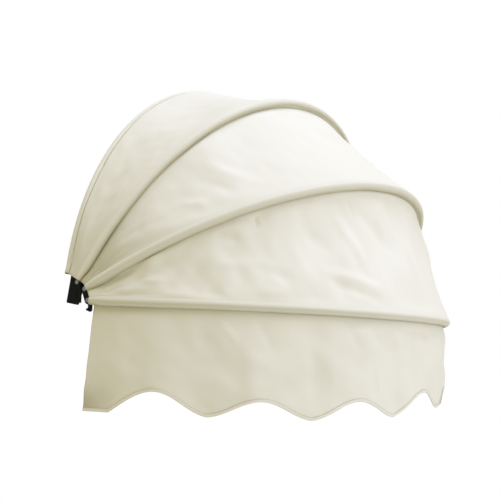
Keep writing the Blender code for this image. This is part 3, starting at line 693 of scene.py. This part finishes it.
def stitch_row(name, line, outward, thread):
    """A row of stitches along a line: each a low arch of thread.

    With u from -1 to 1 along a stitch, its radius is r sqrt(1 - u^4), down to a small flat
    end, and it stands r (1 - u^2) proud of the cloth. Returns the piece and the share of
    the line at which each stitch lies.
    """
    run = np.concatenate([[0], np.cumsum(np.linalg.norm(np.diff(line, axis=0), axis=1))])
    at = np.arange(STITCH_PITCH, run[-1] - STITCH_PITCH, STITCH_PITCH)
    travel = np.gradient(line, axis=0)
    centre, ahead, out = (np.stack([np.interp(at, run, side) for side in rows.T], -1)
                          for rows in (line, travel, outward))
    ahead /= np.linalg.norm(ahead, axis=1, keepdims=True)
    out /= np.linalg.norm(out, axis=1, keepdims=True)
    aside = np.cross(ahead, out)
    u = np.linspace(-1, 1, STITCH_RINGS)[None, :, None]
    turn = np.linspace(0, 2 * math.pi, STITCH_SIDES, endpoint=False)[None, None, :]
    radius = STITCH_RADIUS * np.sqrt(np.maximum(1 - u ** 4, STITCH_END))
    rise = STITCH_RADIUS * (1 - u ** 2) + radius * np.cos(turn)
    shift = radius * np.sin(turn)
    points = (centre[:, None, None] + ahead[:, None, None] * (STITCH_HALF * u + 0 * turn)[..., None]
              + out[:, None, None] * rise[..., None] + aside[:, None, None] * shift[..., None])
    index = np.arange(len(at) * STITCH_RINGS * STITCH_SIDES)
    index = index.reshape(len(at), STITCH_RINGS, STITCH_SIDES)
    beside = np.roll(index, -1, axis=2)
    bands = np.stack([index[:, :-1], beside[:, :-1], beside[:, 1:], index[:, 1:]], -1)
    caps = np.concatenate([index[:, 0, ::-1], index[:, -1]])
    mesh = bpy.data.meshes.new(name)
    mesh.from_pydata(points.reshape(-1, 3).tolist(), [], bands.reshape(-1, 4).tolist() + caps.tolist())
    mesh.polygons.foreach_set("use_smooth", np.ones(len(mesh.polygons), bool))
    mesh.materials.append(thread)
    item = bpy.data.objects.new(name, mesh)
    bpy.context.scene.collection.objects.link(item)
    return item, at / run[-1]


def stitch_hem(grid, thread):
    """The hem's stitches beside the wall bow, on the rear panel."""
    row = WRAP_ROWS - 1 + HEM_ROW
    outward = -normals(grid)[row]
    stitches, place = stitch_row("rear_hem_stitches", grid[row] + outward * COVER_CLOTH / 2,
                                 outward, thread)
    blend_by(stitches)


def make_tunnel(bow, cloth):
    """The cloth tunnel round a bow: a closed turn of cloth along the whole sleeve."""
    share = np.linspace(0, 1, PANEL_COLUMNS)
    turn = np.linspace(0, 2 * math.pi, TUNNEL_SIDES, endpoint=False)[:, None]
    grid = around(bow, share, turn + 0 * share[None, :], TUNNEL_RADIUS, TUNNEL_START)
    # The tunnel is painted a little darker all over: painted shade where it shows in the crevices.
    tunnel = cloth_mesh(f"{bow}_tunnel", grid, cloth, TUNNEL_CLOTH, TUNNEL_PAINTED_SHADE, closed=True)
    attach(tunnel, HOOPS[bow])
    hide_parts(f"{bow}_sleeve")


def valance_drop(length):
    """How far the valance hangs below the bow.

    Round arches between rounded dips, an arch being a mix of |cos| and cos squared; the
    two end arches rise from a corner, and the cloth hangs shorter on its right half.
    """
    beyond = length - BOW_LENGTH / 2
    arches = len(ARCH_RISES)
    number = np.clip(np.round(beyond / SCALLOP_PITCH) + (arches - 1) / 2, 0, arches - 1)
    last = (arches - 1) / 2 * SCALLOP_PITCH
    outer = np.abs(beyond) > last
    phase = np.pi * beyond / SCALLOP_PITCH
    end_phase = np.pi / 2 * np.minimum((np.abs(beyond) - last) / END_ARCH, 1)
    wave = np.where(outer, np.cos(end_phase), np.abs(np.cos(phase)))
    point = np.where(outer, END_POINT, INNER_POINT)
    arch = point * wave + (1 - point) * wave ** 2
    rise = np.array(ARCH_RISES)[number.astype(int)]
    short = SHORTER * smooth((length - SHORTER_FROM) / (SHORTER_TO - SHORTER_FROM))
    return VALANCE_DROP - short - rise * arch


def valance_columns():
    """Lengths along the front bow, even but with one at each end of the scallops."""
    length = np.linspace(VALANCE_START, BOW_LENGTH - VALANCE_START, VALANCE_COLUMNS)
    reach = (len(ARCH_RISES) - 1) / 2 * SCALLOP_PITCH + END_ARCH
    for place in (BOW_LENGTH / 2 - reach, BOW_LENGTH / 2 + reach):
        length[np.argmin(np.abs(length - place))] = place
    return length


def valance_point(length, depth):
    """A point of the valance at a length along the bow and a depth below it.

    The top starts behind the tunnel and swings out under it; below, the cloth sways in
    and out with the scallops, more with depth, and leans back at its two ends.
    """
    centre, outward, _ = bow_line("front", length)
    flat = np.stack([outward[..., 0], outward[..., 1], 0 * outward[..., 2]], -1)
    sway = VALANCE_SWING * np.cos(2 * np.pi * (length - BOW_LENGTH / 2) / SCALLOP_PITCH)
    from_end = np.minimum(length, BOW_LENGTH - length) / LEAN_REACH
    lean = VALANCE_LEAN * np.exp(-from_end ** 2)
    share = depth / VALANCE_DROP
    tuck = -VALANCE_TUCK * np.exp(-(depth / TUCK_REACH) ** 2)
    out = sway * share + tuck
    back = np.array([0.0, 1.0, 0.0]) * (lean * share)[..., None]
    down = np.array([0.0, 0.0, -1.0]) * depth[..., None]
    top = np.array([0.0, 0.0, VALANCE_LIFT - COVER_RADIUS])
    return centre + top + flat * out[..., None] + back + down


# Folds of the valance: from s, from depth, to s, to depth, height, half width, in metres
VALANCE_FOLDS = [
    (0.09, 0.12, 0.16, 0.15, -0.0040, 0.026),
    (0.02, 0.19, 0.08, 0.225, -0.0045, 0.022),
    (0.06, 0.03, 0.10, 0.10, 0.0030, 0.022),
    (0.262, 0.00, 0.285, 0.12, -0.0018, 0.018),
    (0.300, 0.00, 0.345, 0.16, 0.0020, 0.022),
    (0.30, 0.02, 0.36, 0.08, 0.0022, 0.011),
    (0.39, 0.01, 0.44, 0.10, -0.0022, 0.013),
    (0.37, 0.06, 0.40, 0.24, 0.0028, 0.024),
    (0.520, 0.05, 0.545, 0.24, -0.0026, 0.020),
    (0.565, 0.06, 0.590, 0.24, 0.0024, 0.020),
    (0.59, 0.00, 0.665, 0.09, -0.0022, 0.012),
    (0.655, 0.00, 0.73, 0.08, -0.0022, 0.012),
    (0.735, 0.00, 0.79, 0.07, 0.0024, 0.012),
    (0.69, 0.10, 0.705, 0.20, -0.0026, 0.011),
    (0.785, 0.03, 0.80, 0.23, 0.0036, 0.020),
    (0.83, 0.00, 0.84, 0.22, -0.0042, 0.015),
    (0.88, 0.00, 0.89, 0.20, 0.0036, 0.018),
    (1.00, 0.00, 1.01, 0.20, 0.0036, 0.024),
    (1.12, 0.01, 1.10, 0.20, -0.0042, 0.020),
    (1.25, 0.00, 1.31, 0.10, -0.0030, 0.014),
    (1.36, 0.04, 1.35, 0.20, 0.0040, 0.022),
    (1.50, 0.01, 1.53, 0.18, -0.0042, 0.020),
    (1.66, 0.03, 1.64, 0.18, 0.0038, 0.022),
]


def valance_grid():
    """The valance's cloth from the front bow down to its scalloped edge."""
    length = valance_columns()
    depth = np.linspace(0, 1, VALANCE_ROWS)[:, None] * valance_drop(length)[None, :]
    plan = np.stack([np.broadcast_to(length, depth.shape), depth], -1)
    grid = valance_point(plan[..., 0], depth)
    height = folds(plan, VALANCE_FOLDS) + ripple(plan, VALANCE_SEED, VALANCE_RIPPLE, VALANCE_WAVES)
    height = height + ripple(plan, VALANCE_SEED + FINE_SEED, VALANCE_FINE, FINE_WAVES)
    return grid - normals(grid) * (height * smooth(depth / VALANCE_FADE))[..., None]


def valance_painted_shade(grid):
    """Painted shade on the valance: a bell below the front bow, where its shadow falls, and at its two
    lower corners.
    """
    below = np.linalg.norm(grid - grid[:1], axis=2)
    left = np.linalg.norm(grid - grid[-1, 0], axis=2)
    right = np.linalg.norm(grid - grid[-1, -1], axis=2)
    seam = UNDER_BOW_PAINTED_SHADE * np.exp(-(below / UNDER_REACH) ** 2)
    return seam + CORNER_PAINTED_SHADE * np.exp(-(np.minimum(left, right) / CORNER_REACH) ** 2)


def make_valance(grid, cloth):
    """The valance below the front bow, down to its scalloped edge."""
    valance = cloth_mesh("valance_cloth", grid, cloth, COVER_CLOTH, valance_painted_shade(grid))
    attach(valance, "front_hoop")
    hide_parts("valance")
    return valance


def make_tape(grid, cloth, thread):
    """The tape folded over the scalloped edge, a U-shaped strip, and its stitches.

    Its section runs down one leg, round the fold below the edge and up the other leg.
    """
    edge = grid[-1]
    along = np.gradient(edge, axis=0)
    along /= np.linalg.norm(along, axis=1, keepdims=True)
    inner = -normals(grid)[-1]
    inner -= along * np.sum(inner * along, axis=1, keepdims=True)
    inner /= -np.linalg.norm(inner, axis=1, keepdims=True)
    below = np.cross(inner, along)
    half = COVER_CLOTH / 2 + TAPE_CLOTH / 2 + TAPE_GAP
    leg = [(-TAPE_WIDTH, half), (-TAPE_WIDTH * 0.6, half + TAPE_SWELL),
           (-TAPE_WIDTH * 0.25, half), (0.0004, half * 0.9), (0.0010, half * 0.5)]
    section = leg + [(TAPE_FOLD, 0)] + [(down, -aside) for down, aside in reversed(leg)]
    rings = np.stack([edge + below * down + inner * aside for down, aside in section])
    # Painted shade on the tape's upper edges and round its fold below the cloth's edge.
    tape = cloth_mesh("edge_tape", rings, cloth, TAPE_CLOTH, np.array(TAPE_PAINTED_SHADE)[:, None])
    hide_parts("valance_binding")
    seam = edge - below * TAPE_WIDTH * TAPE_STITCHES - inner * (half + TAPE_CLOTH / 2)
    stitches, _ = stitch_row("edge_tape_stitches", seam, -inner, thread)
    for item in (tape, stitches):
        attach(item, "front_hoop")
    return [tape, stitches]


def squash_valance(items):
    """Give each hanging piece a mesh of its own."""
    for item in items:
        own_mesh(item)


def finish_cad(cloth):
    """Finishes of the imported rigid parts, by the name of the part."""
    nylon = moulded_nylon()
    tube = drawn_metal("drawn aluminium tube", "#B9BCBD", "#D6D8D8", 0.36, (60, 900, 900))
    steel = drawn_metal("zinc-plated steel rivet", "#6A6C69", "#8E908C", 0.45, (900, 900, 900))
    for name, node in frame["nodes"].items():
        finish = nylon
        if name.endswith("_bow"):
            finish = tube
        if "rivet" in name:
            finish = steel
        if name.endswith(("_sleeve", "_panel")) or name.startswith("valance"):
            finish = cloth
        node.data.materials.clear()
        node.data.materials.append(finish)


# The camera, matched to the photograph; its focal length is in the photograph's pixels
CAMERA_PLACE = (-2.8097, -1.9317, -0.1148)
CAMERA_YAW = math.radians(57.227)
CAMERA_PITCH = math.radians(5.067)
CAMERA_ROLL = math.radians(2.361)
FOCAL_PIXELS = 1273.0
PHOTO_WIDTH = 500
SENSOR_WIDTH = 36

# The lamps face this point, and the floor is a square about the origin
LAMP_TARGET = (0, -0.3, 0.2)
FLOOR_REACH = 3.0
FLOOR_LEVEL = -1.0


def make_camera():
    """A long lens from the awning's left and a little below, level but for a slight roll."""
    ahead = Vector((math.sin(CAMERA_YAW) * math.cos(CAMERA_PITCH),
                    math.cos(CAMERA_YAW) * math.cos(CAMERA_PITCH), math.sin(CAMERA_PITCH)))
    right = Vector((math.cos(CAMERA_YAW), -math.sin(CAMERA_YAW), 0))
    up = right.cross(ahead)
    turned = math.cos(CAMERA_ROLL) * right + math.sin(CAMERA_ROLL) * up
    upright = -math.sin(CAMERA_ROLL) * right + math.cos(CAMERA_ROLL) * up
    data = bpy.data.cameras.new("camera")
    data.lens = FOCAL_PIXELS / PHOTO_WIDTH * SENSOR_WIDTH
    data.sensor_width = SENSOR_WIDTH
    camera = bpy.data.objects.new("camera", data)
    camera.matrix_world = Matrix.Translation(CAMERA_PLACE) @ Matrix(
        (turned, upright, -ahead)).transposed().to_4x4()
    bpy.context.scene.collection.objects.link(camera)
    bpy.context.scene.camera = camera


def area_light(name, direction, distance, size, power, colour):
    """A square soft light that faces the middle of the awning from a direction."""
    target = Vector(LAMP_TARGET)
    place = target + Vector(direction).normalized() * distance
    data = bpy.data.lights.new(name, "AREA")
    data.size = size
    data.energy = power
    data.color = linear(colour)[:3]
    light = bpy.data.objects.new(name, data)
    light.location = place
    light.rotation_euler = (target - place).to_track_quat("-Z", "Y").to_euler()
    bpy.context.scene.collection.objects.link(light)


def make_lights():
    """A soft lamp above, a broad one in front and a weaker one high on the left, all cool."""
    area_light("top", (0.0, -0.15, 1.0), 4.0, 2.4, 64, "#D5DFFF")
    area_light("front", (0.1, -1.0, 0.1), 4.0, 3.0, 62, "#DAE2FF")
    area_light("left", (-0.5, -0.2, 0.9), 4.0, 2.5, 44, "#DAE2FF")


def make_world():
    """Warm dim surroundings that light the shaded side; the camera sees plain white."""
    world = bpy.data.worlds.new("studio")
    bpy.context.scene.world = world
    world.use_nodes = True
    tree = world.node_tree
    tree.nodes.clear()
    path = add_node(tree, "ShaderNodeLightPath")
    seen = add_node(tree, "ShaderNodeMath", {"operation": "MAXIMUM"},
                    links={0: path.outputs["Is Camera Ray"], 1: path.outputs["Is Glossy Ray"]})
    shown = add_node(tree, "ShaderNodeMath", {"operation": "MAXIMUM"},
                     links={0: seen.outputs[0], 1: path.outputs["Is Transmission Ray"]})
    dim = add_node(tree, "ShaderNodeBackground",
                   inputs={"Color": linear("#F7EBB4"), "Strength": 0.51})
    white = add_node(tree, "ShaderNodeBackground",
                     inputs={"Color": (1, 1, 1, 1), "Strength": 1.0})
    mix = add_node(tree, "ShaderNodeMixShader",
                   links={0: shown.outputs[0], 1: dim.outputs[0], 2: white.outputs[0]})
    add_node(tree, "ShaderNodeOutputWorld", links={0: mix.outputs[0]})


def make_floor():
    """A plain pale floor well below the awning, white to the camera but for its shadow."""
    mesh = bpy.data.meshes.new("floor")
    corners = [(side * FLOOR_REACH, end * FLOOR_REACH, FLOOR_LEVEL)
               for side, end in ((-1, -1), (1, -1), (1, 1), (-1, 1))]
    mesh.from_pydata(corners, [], [(0, 1, 2, 3)])
    floor = bpy.data.objects.new("floor", mesh)
    bpy.context.scene.collection.objects.link(floor)
    material, tree, output = new_material("matt white floor")
    path = add_node(tree, "ShaderNodeLightPath")
    matt = add_node(tree, "ShaderNodeBsdfDiffuse", inputs={"Color": linear("#F2F1EC")})
    white = add_node(tree, "ShaderNodeEmission", inputs={"Color": (1, 1, 1, 1), "Strength": 1.0})
    whiteness = 0.85
    seen = add_node(tree, "ShaderNodeMath", {"operation": "MULTIPLY"}, inputs={1: whiteness},
                    links={0: path.outputs["Is Camera Ray"]})
    mix = add_node(tree, "ShaderNodeMixShader",
                   links={0: seen.outputs[0], 1: matt.outputs[0], 2: white.outputs[0]})
    tree.links.new(mix.outputs[0], output.inputs[0])
    mesh.materials.append(material)


def main():
    """Cloth, finishes, camera, light and stage."""
    bpy.context.scene.view_settings.view_transform = "Standard"
    make_camera()
    cloth = cover_cloth()
    finish_cad(cloth)
    thread = sewing_thread()
    for bow in BOWS:
        make_tunnel(bow, cloth)
    rear, weights = make_panel("rear_panel", "wall", "upper", cloth)
    make_panel("middle_panel", "upper", "lower", cloth)
    make_panel("front_panel", "lower", "front", cloth)
    stitch_hem(rear, thread)
    edge = valance_grid()
    hanging = make_tape(edge, cloth, thread)
    hanging.append(make_valance(edge, cloth))
    bpy.context.view_layer.update()
    squash_valance(hanging)
    make_lights()
    make_world()
    make_floor()


main()
